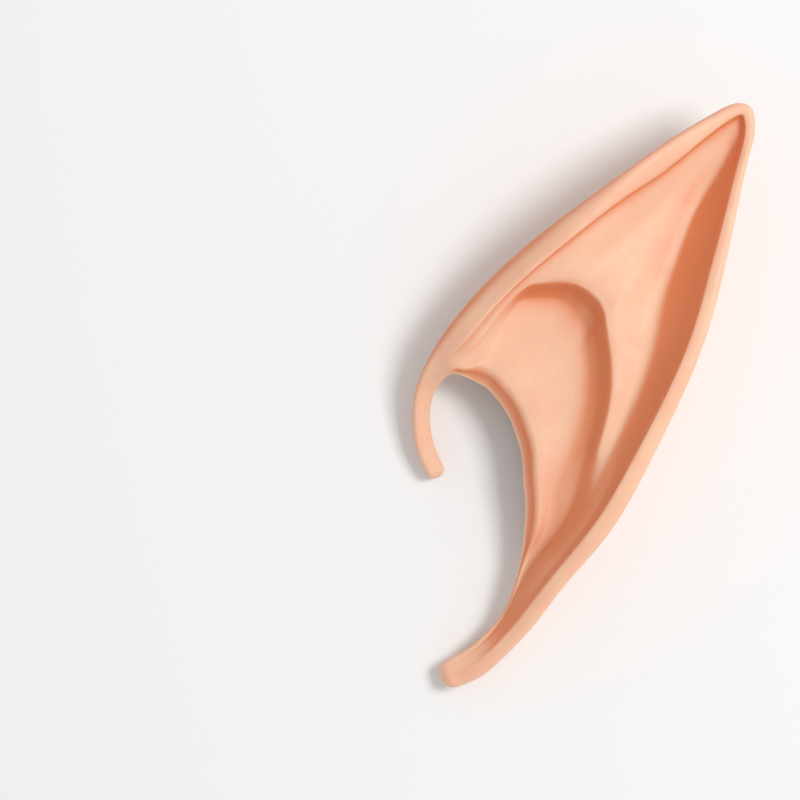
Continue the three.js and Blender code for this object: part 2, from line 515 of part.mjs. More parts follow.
function skinGeometry() {
  const stations = [];
  for (let i = 0; i + 1 < outline.length; i += 1) {
    for (let k = 0; k < STEPS_PER_ROW; k += 1) {
      stations.push(mix(outline[i].at, outline[i + 1].at, k / STEPS_PER_ROW));
    }
  }
  stations.push(LAST);

  const hookEnd = endCap(stations[0], -1);
  const tailEnd = endCap(LAST, 1);
  const rings = [...hookEnd.rings.reverse(), ...stations.map(sectionRing), ...tailEnd.rings];
  const size = rings[0].length;
  const points = [...rings.flat(), hookEnd.pole, tailEnd.pole];
  const hookPole = points.length - 2;
  const tailPole = points.length - 1;

  const faces = [];
  for (let r = 0; r + 1 < rings.length; r += 1) {
    for (let i = 0; i < size; i += 1) {
      const next = (i + 1) % size;
      const here = r * size;
      const there = here + size;
      faces.push(here + i, there + next, here + next, here + i, there + i, there + next);
    }
  }
  const lastRing = (rings.length - 1) * size;
  for (let i = 0; i < size; i += 1) {
    const next = (i + 1) % size;
    faces.push(hookPole, i, next);
    faces.push(tailPole, lastRing + next, lastRing + i);
  }

  const geometry = new THREE.BufferGeometry();
  geometry.setFromPoints(points);
  geometry.setIndex(faces);
  geometry.computeBoundingBox();
  const box = geometry.boundingBox;
  geometry.translate(-(box.min.x + box.max.x) / 2, -(box.min.y + box.max.y) / 2, -box.min.z);
  geometry.computeVertexNormals();
  return geometry;
}

const latex = new THREE.MeshStandardMaterial({ color: 0xf2b48c, roughness: 0.55, metalness: 0 });

const earTip = new THREE.Mesh(skinGeometry(), latex);
earTip.name = 'ear_tip';

const model = new THREE.Group();
model.add(earTip);

export default model;
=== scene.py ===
import math

import bpy
import numpy as np
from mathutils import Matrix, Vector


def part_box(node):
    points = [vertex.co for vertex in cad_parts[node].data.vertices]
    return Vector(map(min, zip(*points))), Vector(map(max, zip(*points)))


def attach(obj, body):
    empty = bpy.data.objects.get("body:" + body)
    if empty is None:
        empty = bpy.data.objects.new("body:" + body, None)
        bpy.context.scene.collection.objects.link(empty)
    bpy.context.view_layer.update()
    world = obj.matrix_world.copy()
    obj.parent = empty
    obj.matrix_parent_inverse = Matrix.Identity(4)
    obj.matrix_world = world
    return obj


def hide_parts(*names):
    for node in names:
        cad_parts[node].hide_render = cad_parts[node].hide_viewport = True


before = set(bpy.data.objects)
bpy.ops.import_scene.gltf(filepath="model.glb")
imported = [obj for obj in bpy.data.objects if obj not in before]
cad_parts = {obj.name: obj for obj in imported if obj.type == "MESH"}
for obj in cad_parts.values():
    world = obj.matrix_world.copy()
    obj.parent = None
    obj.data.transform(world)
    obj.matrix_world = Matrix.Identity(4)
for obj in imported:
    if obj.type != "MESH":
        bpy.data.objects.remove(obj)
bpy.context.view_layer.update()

# Ear tip: one hollow sleeve of cast latex, worn over the top of an ear. The latex is poured into
# a two-part mould, drained, cured and pulled out, so its front and back are a single thin skin
# that joins along the rolled rim and stays open along the notch. It is pigmented right through.
LENGTH = 0.112  # tail end to pointed tip, along Y
WIDTH = 0.0656  # outer side of the hook to the tip, along X
RIM_HEIGHT = 0.024  # highest crest of the rolled rim above the surface it lies on
RIDGE_HEIGHT = 0.0186  # highest crest of the ridge round the bowl
GROOVE_HEIGHT = 0.016  # floor of the groove between ridge and rim, beside the bowl
BOWL_HEIGHT = 0.012  # floor of the bowl
ROLL_WIDTH = 0.0046  # the rolled rim at its widest, square to the outer edge
ROLL_DEPTH = 0.0024  # crease inside the rim, below the rim's crest
EDGE_DROP = 0.0028  # outermost edge, below the rim's crest
LIP_WIDTH = 0.004  # strip that turns down along the notch, at its widest
LIP_DROP = 0.0022  # notch edge, below the bowl's floor
LIP_RISE = 0.0006  # inner side of that strip, above the bowl's floor
BACK_SETBACK = 0.0055  # the back skin's edge lies this far behind the front skin's edge
BACK_RISE = 0.001  # how far the back skin rises again towards its edge
SKIN = 0.0014  # thickness of the latex
RIM_WALL = 0.0024  # latex between the pocket's end and the outer edge
SOFTNESS = 0.0004  # every edge and fold is rounded over at least this distance
PLATEAU_SOFTNESS = 0.004  # and over at most this distance where the skin runs out flat
SLIT = 0.0005  # least gap between the skins; hook and tail are closed up to it
SLIT_DEPTH = 0.0007  # how far in it reaches there

# Outline, a row for each section from the hook's end round the tip to the tail's end: the outer
# edge and the notch edge, as shares of WIDTH and LENGTH
outline_columns = ("at", "rim_x", "rim_y", "notch_x", "notch_y")
outline_rows = [
    (0, 0.042, 0.366, 0.093, 0.376),
    (1.7, 0.0165, 0.4, 0.07, 0.405),
    (3.4, 0.005, 0.435, 0.056, 0.437),
    (7.3, 0.014, 0.514, 0.064, 0.5),
    (9.5, 0.044, 0.556, 0.088, 0.523),
    (12.2, 0.091, 0.602, 0.116, 0.534),
    (15.6, 0.165, 0.658, 0.139, 0.533),
    (19.8, 0.269, 0.721, 0.164, 0.528),
    (25.2, 0.412, 0.791, 0.194, 0.519),
    (31.4, 0.587, 0.866, 0.223, 0.508),
    (37.4, 0.758, 0.937, 0.245, 0.493),
    (41.9, 0.895, 0.985, 0.261, 0.482),
    (44.1, 0.969, 0.996, 0.273, 0.471),
    (44.9, 0.992, 0.986, 0.279, 0.465),
    (45.6, 0.999, 0.969, 0.284, 0.46),
    (48.5, 0.984, 0.911, 0.293, 0.449),
    (52.8, 0.95, 0.825, 0.302, 0.434),
    (57.6, 0.914, 0.729, 0.313, 0.414),
    (63.1, 0.866, 0.618, 0.322, 0.389),
    (69.5, 0.784, 0.495, 0.325, 0.354),
    (76.1, 0.682, 0.372, 0.331, 0.313),
    (82.5, 0.568, 0.258, 0.328, 0.266),
    (88.2, 0.439, 0.168, 0.316, 0.21),
    (92.4, 0.351, 0.1, 0.292, 0.158),
    (95.7, 0.269, 0.049, 0.247, 0.11),
    (98, 0.203, 0.016, 0.176, 0.069),
    (100, 0.137, -0.001, 0.107, 0.045),
]
# Folds of the front skin, as shares of the way from the notch edge to the outer edge: foot and
# crest of the bowl's wall, floor of the groove. Their heights and the roll, as shares of the
# sizes above. cove is how far the rim's wall has risen at its bend.
fold_columns = (
    "at", "foot", "ridge", "groove", "cove",
    "roll", "rim_z", "crease_z", "ridge_z", "groove_z", "bowl_z",
)
fold_rows = [
    (0, 0.3, 0.34, 0.38, 0.5, 0.4, 0.175, 0.02, 0.22, 0.26, 0.34),
    (7.3, 0.28, 0.32, 0.36, 0.5, 0.42, 0.33, 0.03, 0.42, 0.49, 0.645),
    (12.2, 0.27, 0.32, 0.37, 0.5, 0.68, 0.52, 0.08, 0.66, 0.767, 1),
    (15.6, 0.2, 0.29, 0.36, 0.5, 0.92, 0.62, 0.3, 0.73, 0.871, 1.06),
    (19.8, 0.21, 0.37, 0.45, 0.5, 1, 0.72, 0.5, 0.81, 0.976, 1.06),
    (22.5, 0.33, 0.5, 0.545, 0.5, 1, 0.795, 0.6, 0.87, 1.06, 1.04),
    (25.2, 0.48, 0.585, 0.615, 0.5, 1, 0.87, 0.7, 0.95, 1.15, 1.01),
    (28.3, 0.475, 0.554, 0.635, 0.48, 1, 0.93, 0.7, 0.99, 1.22, 1),
    (31.4, 0.435, 0.51, 0.64, 0.45, 0.96, 0.96, 0.7, 1, 1.26, 1),
    (37.4, 0.37, 0.444, 0.62, 0.45, 0.94, 0.905, 0.7, 0.99, 1.2, 1),
    (41.9, 0.32, 0.396, 0.65, 0.42, 0.9, 0.815, 0.7, 0.97, 1.05, 1),
    (44.1, 0.3, 0.379, 0.7, 0.42, 0.6, 0.78, 0.7, 0.97, 0.94, 1),
    (45.6, 0.3, 0.382, 0.735, 0.44, 0.48, 0.775, 0.7, 0.96, 0.87, 1),
    (48.5, 0.3, 0.398, 0.735, 0.45, 0.48, 0.82, 0.7, 0.96, 0.84, 1),
    (52.8, 0.31, 0.424, 0.69, 0.45, 0.56, 0.88, 0.7, 0.95, 0.87, 1),
    (57.6, 0.32, 0.455, 0.66, 0.44, 0.68, 0.95, 0.7, 0.94, 0.95, 1),
    (63.1, 0.315, 0.484, 0.635, 0.42, 0.7, 1, 0.7, 0.93, 1, 1),
    (69.5, 0.3, 0.508, 0.615, 0.42, 0.74, 0.985, 0.7, 0.89, 1.02, 0.97),
    (76.1, 0.285, 0.52, 0.62, 0.48, 0.8, 0.92, 0.7, 0.78, 1.04, 0.9),
    (82.5, 0.31, 0.46, 0.59, 0.5, 0.78, 0.78, 0.6, 0.65, 0.92, 0.79),
    (88.2, 0.13, 0.3, 0.46, 0.5, 0.72, 0.6, 0.5, 0.5, 0.7, 0.6),
    (92.4, 0.08, 0.21, 0.33, 0.6, 0.72, 0.46, 0.3, 0.425, 0.55, 0.55),
    (95.7, 0.08, 0.19, 0.27, 0.6, 0.64, 0.35, 0.15, 0.336, 0.422, 0.46),
    (98, 0.1, 0.21, 0.28, 0.6, 0.6, 0.28, 0.08, 0.3, 0.36, 0.43),
    (100, 0.2, 0.26, 0.32, 0.5, 0.5, 0.21, 0.02, 0.255, 0.3, 0.38),
]
# Back skin and pocket: the lowest line of the back and its height, how far the side falls
# straight down, the set-back of the back skin's edge, and how far the two skins stand apart
back_columns = ("at", "belly", "base_z", "fall", "setback", "pocket")
back_rows = [
    (0, 0.5, 0, 0.5, 0, 0),
    (7.3, 0.5, 0.12, 0.5, 0, 0),
    (12.2, 0.5, 0.17, 0.5, 0.1, 0.15),
    (19.8, 0.5, 0.09, 0.4, 0.7, 1),
    (31.4, 0.5, 0, 0.25, 1, 1),
    (41.9, 0.53, 0, 0.15, 1, 1),
    (45.6, 0.55, 0, 0.15, 1, 1),
    (52.8, 0.54, 0, 0.2, 1, 1),
    (63.1, 0.52, 0, 0.25, 1, 1),
    (76.1, 0.48, 0, 0.35, 0.8, 1),
    (88.2, 0.5, 0.14, 0.5, 0.2, 0.5),
    (95.7, 0.5, 0.07, 0.5, 0, 0),
    (100, 0.5, 0, 0.5, 0, 0),
]
# How much painted shade, a deeper orange where shade falls, the steep places of the skin take: lip,
# bowl's wall, the slope from there to the groove, rim's wall and outer edge. The last two columns:
# how much painted shade lies all along the crease inside the rim and along the wall's foot, steep or
# not.
painted_shade_columns = ("at", "lip", "bowl", "slope", "rim", "edge", "painted_flat_shade", "shade")
painted_shade_rows = [
    (0, 0, 0, 0, 0, 0.05, 0, 0),
    (7.3, 0, 0, 0, 0, 0.2, 0, 0),
    (12.2, 0.3, 0, 0, 0.1, 0.4, 0.25, 0),
    (15.6, 0.9, 0, 0, 0.2, 0.45, 0.6, 0),
    (22.5, 1, 0, 0, 0.2, 0.4, 0.7, 0.2),
    (25.2, 1, 0.25, 0, 0.2, 0.35, 0.75, 0.45),
    (28.3, 1, 0.9, 0, 0.2, 0.3, 0.8, 0.65),
    (41.9, 1, 1, 0, 0.2, 0.2, 0.95, 0.7),
    (44.1, 1, 1, 0, 0.5, 0.1, 0.9, 0.65),
    (45.6, 1, 1, 0, 2, 0, 0.5, 0.6),
    (52.8, 1, 1.3, 0, 2, 0, 0, 0.55),
    (63.1, 1, 1.4, 0, 1.8, 0, 0, 0.55),
    (69.5, 1, 1.4, 0.3, 1.5, 0, 0, 0.6),
    (82.5, 1, 1.1, 1, 1, 0, 0, 0.45),
    (88.2, 1, 1, 1, 1, 0, 0, 0.1),
    (95.7, 1, 1, 1, 1, 0, 0, 0),
    (98, 0.6, 0.6, 0.6, 0.6, 0, 0, 0),
    (100, 0, 0, 0, 0, 0, 0, 0),
]


def level_tangents(spans, slopes):
    """Flat at each crest and hollow, so that a curve never swings past its points."""
    before, after = spans[:-1], spans[1:]
    same_way = slopes[:-1] * slopes[1:] > 0
    slope_in = np.where(same_way, slopes[:-1], 1)
    slope_out = np.where(same_way, slopes[1:], 1)
    weight_in, weight_out = before + 2 * after, after + 2 * before
    mean = (weight_in + weight_out) / (weight_in / slope_in + weight_out / slope_out)
    return np.concatenate(([slopes[0]], np.where(same_way, mean, 0), [slopes[-1]]))


def round_tangents(spans, slopes):
    """Those of a bent spline, whose bend never jumps."""
    size = len(slopes) + 1
    system = np.zeros((size, size))
    sums = np.zeros(size)
    system[0, :2] = (2, 1)
    system[-1, -2:] = (1, 2)
    sums[0], sums[-1] = 3 * slopes[0], 3 * slopes[-1]
    for i in range(1, size - 1):
        before, after = spans[i - 1], spans[i]
        system[i, i - 1 : i + 2] = (after, 2 * (before + after), before)
        sums[i] = 3 * (after * slopes[i - 1] + before * slopes[i])
    return np.linalg.solve(system, sums)


def curve(places, values, tangent_rule):
    places = np.asarray(places, float)
    values = np.asarray(values, float)
    spans = np.diff(places)
    tangents = tangent_rule(spans, np.diff(values) / spans)

    def value(place):
        i = np.clip(np.searchsorted(places, place) - 1, 0, len(spans) - 1)
        t = (place - places[i]) / spans[i]
        rest = 1 - t
        ends = values[i] * rest**2 * (1 + 2 * t) + values[i + 1] * t**2 * (1 + 2 * rest)
        return ends + spans[i] * t * rest * (tangents[i] * rest - tangents[i + 1] * t)

    return value


def table_curves(columns, rows, tangent_rule):
    cells = np.array(rows, float)
    pairs = enumerate(columns)
    return {name: curve(cells[:, 0], cells[:, k], tangent_rule) for k, name in pairs if k}


plan = table_curves(outline_columns, outline_rows, round_tangents)
fold = table_curves(fold_columns, fold_rows, round_tangents)
rear = table_curves(back_columns, back_rows, level_tangents)
painted_shade_curves = table_curves(painted_shade_columns, painted_shade_rows, level_tangents)
LAST = outline_rows[-1][0]


def mix(a, b, share):
    return a + (b - a) * share


def outer_edge(at):
    return np.array([plan["rim_x"](at) * WIDTH, plan["rim_y"](at) * LENGTH])


def notch_edge(at):
    return np.array([plan["notch_x"](at) * WIDTH, plan["notch_y"](at) * LENGTH])


def unit(vector):
    return vector / np.linalg.norm(vector)


SQUARE_STEP = 0.2  # how far to both sides of a section an edge's direction is measured
LEAST_SQUARE = 0.35  # a more slanting section counts as this


def squareness(edge, at):
    """How squarely the section at this station meets an edge of the band: 1 is square."""
    along = unit(edge(min(at + SQUARE_STEP, LAST)) - edge(max(at - SQUARE_STEP, 0)))
    across = unit(outer_edge(at) - notch_edge(at))
    return max(abs(along[0] * across[1] - along[1] * across[0]), LEAST_SQUARE)


EDGE_SAMPLES = 400
SECTION_SAMPLES = 240
edge_line = np.array([outer_edge(at) for at in np.linspace(0, LAST, EDGE_SAMPLES)])
edge_steps = np.diff(edge_line, axis=0)


def rim_distances(at, span):
    """Places along a section, and how far each lies from the nearest stretch of outer edge."""
    places = np.linspace(0, span, SECTION_SAMPLES)
    across = unit(outer_edge(at) - notch_edge(at))
    spots = notch_edge(at) + places[:, None] * across
    gaps = spots[:, None, :] - edge_line[None, :-1, :]
    along = (gaps * edge_steps).sum(axis=2) / (edge_steps**2).sum(axis=1)
    gaps -= np.clip(along, 0, 1)[:, :, None] * edge_steps
    return places, np.sqrt((gaps**2).sum(axis=2)).min(axis=1)


LIP_SHARE = 0.65  # the lip also stays narrower than this share of the way to the wall's foot
CROWN_SHARE = 0.48  # where the rim's crest lies between outer edge and crease
# 2 makes the roll's flank round; more flattens its crest and steepens its foot
OUTER_FLATNESS = 2.2
INNER_FLATNESS = 3
LIP_BEND, LIP_COVE = 0.5, 0.62  # the lip's bend: how far in, and how high
BOWL_BEND, BOWL_COVE = 0.5, 0.3  # the bowl wall's bend
WALL_BEND = 0.6  # the bend in the rim's wall: how far from groove to crease
FOOT_RISE = 0.0004  # start of the bowl's wall above the bowl's floor
SPREAD = 0.7  # how fast the rounding widens away from crest and crease
TAPS = 4
SOFT_TAPS = [(k / TAPS, (TAPS - abs(k)) / TAPS**2) for k in range(1 - TAPS, TAPS)]


def front_skin(at, span):
    """The front skin over one section: its marks, its height at any distance from the notch
    edge, the place of the rim's crest and the height of the outer edge."""
    row = {name: float(value(at)) for name, value in fold.items()}
    foot, ridge, groove = (row[k] * span for k in ("foot", "ridge", "groove"))
    roll = row["roll"] * ROLL_WIDTH
    places, distances = rim_distances(at, span)

    def place_at(distance):
        i = max(np.flatnonzero(distances <= distance)[0], 1)
        share = (distances[i - 1] - distance) / (distances[i - 1] - distances[i])
        return mix(places[i - 1], places[i], share)

    crease = place_at(roll)
    crown = place_at(roll * CROWN_SHARE)
    lip = 1 / math.hypot(1 / LIP_WIDTH, 1 / (LIP_SHARE * foot))
    rim_z = row["rim_z"] * RIM_HEIGHT
    bowl_z = row["bowl_z"] * BOWL_HEIGHT
    lip_edge_z = bowl_z - LIP_DROP * lip / LIP_WIDTH
    lip_z = bowl_z + LIP_RISE * lip / LIP_WIDTH
    foot_z = bowl_z + FOOT_RISE * lip / LIP_WIDTH
    ridge_z = row["ridge_z"] * RIDGE_HEIGHT
    groove_z = row["groove_z"] * GROOVE_HEIGHT
    crease_z = rim_z - row["crease_z"] * ROLL_DEPTH
    edge_z = rim_z - EDGE_DROP * min(row["roll"], 1)
    profile = [
        (0, lip_edge_z),
        (LIP_BEND * lip, mix(lip_edge_z, lip_z, LIP_COVE)),
        (lip, lip_z),
        ((lip + foot) / 2, bowl_z),
        (foot, foot_z),
        (mix(foot, ridge, BOWL_BEND), mix(foot_z, ridge_z, BOWL_COVE)),
        (ridge, ridge_z),
        (groove, groove_z),
        (mix(groove, crease, WALL_BEND), mix(groove_z, crease_z, row["cove"])),
        (crease, crease_z),
    ]
    marks = np.array([place for place, _ in profile] + [crown])
    inner = curve(marks[:-1], [level for _, level in profile], level_tangents)

    def sharp(a):
        share = np.interp(a, places, distances) / roll
        out = np.clip((CROWN_SHARE - share) / CROWN_SHARE, 0, 1)
        back = np.clip((share - CROWN_SHARE) / (1 - CROWN_SHARE), 0, 1)
        outside = mix(edge_z, rim_z, (1 - out**OUTER_FLATNESS) ** (1 / OUTER_FLATNESS))
        inside = mix(crease_z, rim_z, (1 - back**INNER_FLATNESS) ** (1 / INNER_FLATNESS))
        return np.where(a < crease, inner(np.minimum(a, crease)), np.where(a < crown, inside, outside))

    def height(a):
        a = np.asarray(a, float)
        room = np.minimum(np.abs(a - ridge), np.abs(crease - a)) * SPREAD
        plateau = (a > ridge) & (a < crease)
        blur = np.where(plateau, np.clip(room, SOFTNESS, PLATEAU_SOFTNESS), SOFTNESS)
        blur = np.clip(np.minimum(a, crown - a), 0, blur)
        soft = sum(weight * sharp(a + blur * tap) for tap, weight in SOFT_TAPS)
        return np.where(a <= crown, soft, sharp(a))

    return marks, height, crown, edge_z


TURN_IN = 0.4  # how long the back holds its level before it turns up, as a share of that way
SIDE_SAMPLES = 400


def back_skin(at, span, edge_z, start):
    """The back skin: a curve from the outer edge down to the belly, then a slow rise."""
    belly = rear["belly"](at) * span
    base_z = rear["base_z"](at) * RIM_HEIGHT
    controls = np.array([
        (span, edge_z),
        (span, mix(edge_z, base_z, rear["fall"](at))),
        (mix(belly, span, TURN_IN), base_z),
        (belly, base_z),
    ])

    def side(t):
        t = np.asarray(t, float)[:, None]
        rest = 1 - t
        ends = controls[0] * rest**3 + controls[3] * t**3
        return ends + 3 * rest * t * (controls[1] * rest + controls[2] * t)

    samples = side(np.linspace(1, 0, SIDE_SAMPLES))

    def height(a):
        rise = BACK_RISE * ((belly - a) / (belly - start)) ** 2
        return np.where(a < belly, base_z + rise, np.interp(a, samples[:, 0], samples[:, 1]))

    return side, belly, height


# Steps of the fine skin, mark to mark over the front, then round the edge and over the back
FRONT_STEPS = [3, 5, 3, 6, 5, 7, 8, 7, 9, 6]
EDGE_STEPS = 10
SIDE_STEPS = 22
BACK_STEPS = 12
ROUNDING_STEPS = 6
POCKET_BACK_STEPS = 14
POCKET_FRONT_STEPS = [1, 2, 2, 3, 3, 4]
POCKET_END_STEPS = 10
NOSE = 0.35  # rounding of the notch edges, as a share of the skin's thickness
NOSE_SHARE = 0.6  # and at most this share of the way to the lip's bend
THICKEST = 2.2  # steep skin is at most this many times as thick when measured upright
END_SHARE = 0.8  # in a shallow pocket the front's marks draw in, the ridge's to this share of it
END_POWER = 6  # how bluntly the pocket ends
SEARCH_STEPS = 200
SLOPE_STEP = 0.00005
RIGHT_ANGLE = math.pi / 2


def steps_between(marks, counts):
    stretches = [np.linspace(marks[i], marks[i + 1], n, endpoint=False) for i, n in enumerate(counts)]
    return np.concatenate(stretches)


def quarter(start, end, steps):
    """Places from start towards end, closer together near the end."""
    return mix(start, end, np.sin(np.arange(steps) / steps * RIGHT_ANGLE))


# Places in front_skin's list of marks: lip, foot, ridge, groove and crease
PAINTED_SHADE_MARKS = (2, 4, 6, 7, 9)
PAINTED_CREASE_SHADE_INWARD = 0.0085  # how far the painted shade reaches from the crease towards the groove
PAINTED_CREASE_SHADE_OUTWARD = 0.0012  # and how far out over the roll
SHADE_REACH = 0.009  # how far the painted shade reaches from the wall's foot into the bowl
PAINTED_EDGE_SHADE = 1.3  # painted shade at the outer edge, for each unit of the edge's share
PAINTED_EDGE_SHADE_FADE = 6  # how fast the painted shade on the outer edge fades down the side


def painted_shade_shares(at, front, marks, crown, span):
    """The shares of painted shade, a deeper orange, that steep places take, over the front and the
    side, and the painted shade that lies over the front, steep or not."""
    here = {name: float(value(at)) for name, value in painted_shade_curves.items()}
    lip, foot, ridge, groove, crease = (marks[k] for k in PAINTED_SHADE_MARKS)
    turns = [lip, foot, ridge, (ridge + groove) / 2, groove, crease, mix(crease, crown, 0.5)]
    shares = [here[name] for name in ("lip", "bowl", "bowl", "slope", "rim", "rim")] + [0]
    painted_steep_shade_front = np.where(front < crown, np.interp(front, turns, shares), here["edge"])
    fading = (1 - np.arange(SIDE_STEPS) / SIDE_STEPS) ** PAINTED_EDGE_SHADE_FADE
    past_crease = front - crease
    away = np.where(past_crease > 0, past_crease / PAINTED_CREASE_SHADE_OUTWARD, -past_crease / PAINTED_CREASE_SHADE_INWARD)
    past_foot = front - foot
    apart = np.where(past_foot > 0, past_foot / (ridge - foot), -past_foot / SHADE_REACH)
    outward = np.clip((front - crown) / (span - crown), 0, 1)
    painted_flat_shade = (
        here["painted_flat_shade"] * np.clip(1 - away, 0, 1) ** 2
        + here["shade"] * np.clip(1 - apart, 0, 1) ** 2
        + here["edge"] * PAINTED_EDGE_SHADE * outward
    )
    return np.concatenate([painted_steep_shade_front, here["edge"] * fading]), painted_flat_shade


def section(at):
    """One closed section: distances from the notch edge, heights and, in two columns, the painted
    shade for steep places and that which lies there anyway, with none of it on the back and in the
    pocket."""
    span = float(np.linalg.norm(outer_edge(at) - notch_edge(at)))
    notch_square = squareness(notch_edge, at)
    outer_square = squareness(outer_edge, at)
    pocket = float(rear["pocket"](at))
    start = float(rear["setback"](at)) * BACK_SETBACK
    marks, top, crown, edge_z = front_skin(at, span)
    nose = min(NOSE * SKIN, NOSE_SHARE * marks[1])
    marks[0] = nose
    side, belly, bottom = back_skin(at, span, edge_z, start)

    def thickness(height, a):
        rise = (height(a + SLOPE_STEP) - height(a - SLOPE_STEP)) / (2 * SLOPE_STEP)
        slope = rise / mix(notch_square, outer_square, a / span)
        return SKIN * np.minimum(np.sqrt(1 + slope**2), THICKEST)

    def ceiling(a):
        return top(a) - thickness(top, a)

    def floor(a):
        return bottom(a) + thickness(bottom, a)

    first_reach = nose + SLIT_DEPTH
    tries = np.arange(start + first_reach, span - RIM_WALL / outer_square, span / SEARCH_STEPS)
    reach = start + first_reach
    if len(tries):
        shut = np.flatnonzero(ceiling(tries) - floor(tries) <= SLIT)
        reach = tries[shut[0]] if len(shut) else tries[-1]
    end = mix(start + first_reach, reach, pocket)

    def pocket_face(a, way):
        free = np.maximum(ceiling(a) - floor(a), SLIT)
        along = np.clip((a - nose) / (end - nose), 0, 1)
        gap = mix(SLIT, free, pocket) * np.sqrt(1 - along**END_POWER)
        closed = (top(a) + bottom(a)) / 2
        opened = (ceiling(a) + floor(a)) / 2
        return mix(closed, opened, pocket) + way * gap / 2

    def rounding(a, low, high):
        turn = np.arange(1, ROUNDING_STEPS) / ROUNDING_STEPS * math.pi
        return a + nose * (1 - np.sin(turn)), mix(low, high, (1 - np.cos(turn)) / 2)

    # Front skin from the notch edge to the rim's crest, then round to the outer edge
    front_a = steps_between(marks, FRONT_STEPS)
    front_a = np.concatenate([front_a, quarter(crown, span, EDGE_STEPS)])
    # Back skin from the outer edge to its own edge
    sides = side(np.arange(SIDE_STEPS) / SIDE_STEPS)
    back_a = np.linspace(belly, start + nose, BACK_STEPS + 1)
    back_turn = rounding(start, bottom(start + nose), pocket_face(start + nose, -1))
    # Pocket: in along the back skin, round its end, out along the front skin
    in_a = quarter(start + nose, end, POCKET_BACK_STEPS)
    shrink = min(END_SHARE * (end - nose) / (marks[len(POCKET_FRONT_STEPS)] - nose), 1)
    out_a = mix(nose, steps_between(marks, POCKET_FRONT_STEPS), shrink)
    ridge = mix(nose, marks[len(POCKET_FRONT_STEPS)], shrink)
    out_a = np.concatenate([out_a, quarter(ridge, end, POCKET_END_STEPS)])[::-1]
    front_turn = rounding(0, pocket_face(nose, 1), top(nose))
    stretches = [
        (front_a, top(front_a)),
        (sides[:, 0], sides[:, 1]),
        (back_a, bottom(back_a)),
        back_turn,
        (in_a, pocket_face(in_a, -1)),
        (np.array([end]), pocket_face(np.array([end]), 0)),
        (out_a, pocket_face(out_a, 1)),
        front_turn,
    ]
    places = np.concatenate([np.atleast_1d(a) for a, _ in stretches])
    levels = np.concatenate([np.atleast_1d(z) for _, z in stretches])
    painted_shade_values = np.zeros((len(places), 2))
    for column, values in enumerate(painted_shade_shares(at, front_a, marks, crown, span)):
        painted_shade_values[: len(values), column] = values
    return places, levels, painted_shade_values


STATIONS_PER_ROW = 8
CAP_STEPS = 10
CAP_SHARE = 0.48  # how far a rounded end reaches out, as a share of its width


def ring(at):
    places, levels, painted_shade_values = section(at)
    across = unit(outer_edge(at) - notch_edge(at))
    flat = notch_edge(at) + places[:, None] * across
    return np.column_stack([flat, levels]), painted_shade_values


def end_cap(at, turn):
    """Rings that draw in to a point at the rounded end of the hook or the tail."""
    points, painted_shade_values = ring(at)
    middle = (points.min(axis=0) + points.max(axis=0)) / 2
    across = outer_edge(at) - notch_edge(at)
    away = np.array([across[1], -across[0], 0]) * turn * CAP_SHARE
    rings = []
    for k in range(1, CAP_STEPS):
        angle = k / CAP_STEPS * RIGHT_ANGLE
        rings.append((mix(middle, points, math.cos(angle)) + away * math.sin(angle), 0 * painted_shade_values))
    return rings, middle + away


stations = steps_between([row[0] for row in outline_rows], [STATIONS_PER_ROW] * (len(outline_rows) - 1))
hook_cap, hook_pole = end_cap(0, -1)
tail_cap, tail_pole = end_cap(LAST, 1)
rings = hook_cap[::-1] + [ring(at) for at in [*stations, LAST]] + tail_cap
ring_size = len(rings[0][0])
points = np.concatenate([r[0] for r in rings] + [hook_pole[None], tail_pole[None]])
painted_steep_shade_shares, painted_flat_shade = np.concatenate([r[1] for r in rings] + [np.zeros((2, 2))]).T

faces = []
for r in range(len(rings) - 1):
    here = r * ring_size
    there = here + ring_size
    for i in range(ring_size):
        following = (i + 1) % ring_size
        faces.append((here + i, there + i, there + following, here + following))
last_ring = (len(rings) - 1) * ring_size
for i in range(ring_size):
    following = (i + 1) % ring_size
    faces.append((len(points) - 2, i, following))
    faces.append((len(points) - 1, last_ring + following, last_ring + i))

# It lies where the solid of the frame lies
low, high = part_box("ear_tip")
shift_x = (low.x + high.x - points[:, 0].min() - points[:, 0].max()) / 2
shift_y = (low.y + high.y - points[:, 1].min() - points[:, 1].max()) / 2
points += np.array([shift_x, shift_y, low.z - points[:, 2].min()])

skin_mesh = bpy.data.meshes.new("ear_tip_skin")
skin_mesh.from_pydata(points.tolist(), [], faces)
skin_mesh.shade_smooth()

# Painted shade at each point, a deeper orange: the steeper the skin falls there, the deeper, up to a
# limit
LEAST_UPRIGHT = 0.2
normals = np.zeros(3 * len(points), np.float32)
skin_mesh.vertex_normals.foreach_get("vector", normals)
upright = np.clip(normals.reshape(-1, 3)[:, 2], LEAST_UPRIGHT, 1)
painted_fold_shade = skin_mesh.attributes.new("painted_fold_shade", "FLOAT", "POINT")
painted_shade_amount = painted_steep_shade_shares * np.sqrt(1 / upright**2 - 1) + painted_flat_shade
painted_fold_shade.data.foreach_set("value", painted_shade_amount.astype(np.float32))
ear_tip_skin = bpy.data.objects.new("ear_tip_skin", skin_mesh)
bpy.context.scene.collection.objects.link(ear_tip_skin)

# Cast latex: pigmented peach, satin, a little light passing into it; deep orange painted shade in the
# folds.
# The pigment clouds a little over 1 cm patches. The surface has the mould's fine grain, low
# swellings where the skin shrank, and patches that shine a little more.
PEACH = (0.93, 0.56, 0.38, 1)
ROSY_PEACH = (0.92, 0.51, 0.345, 1)
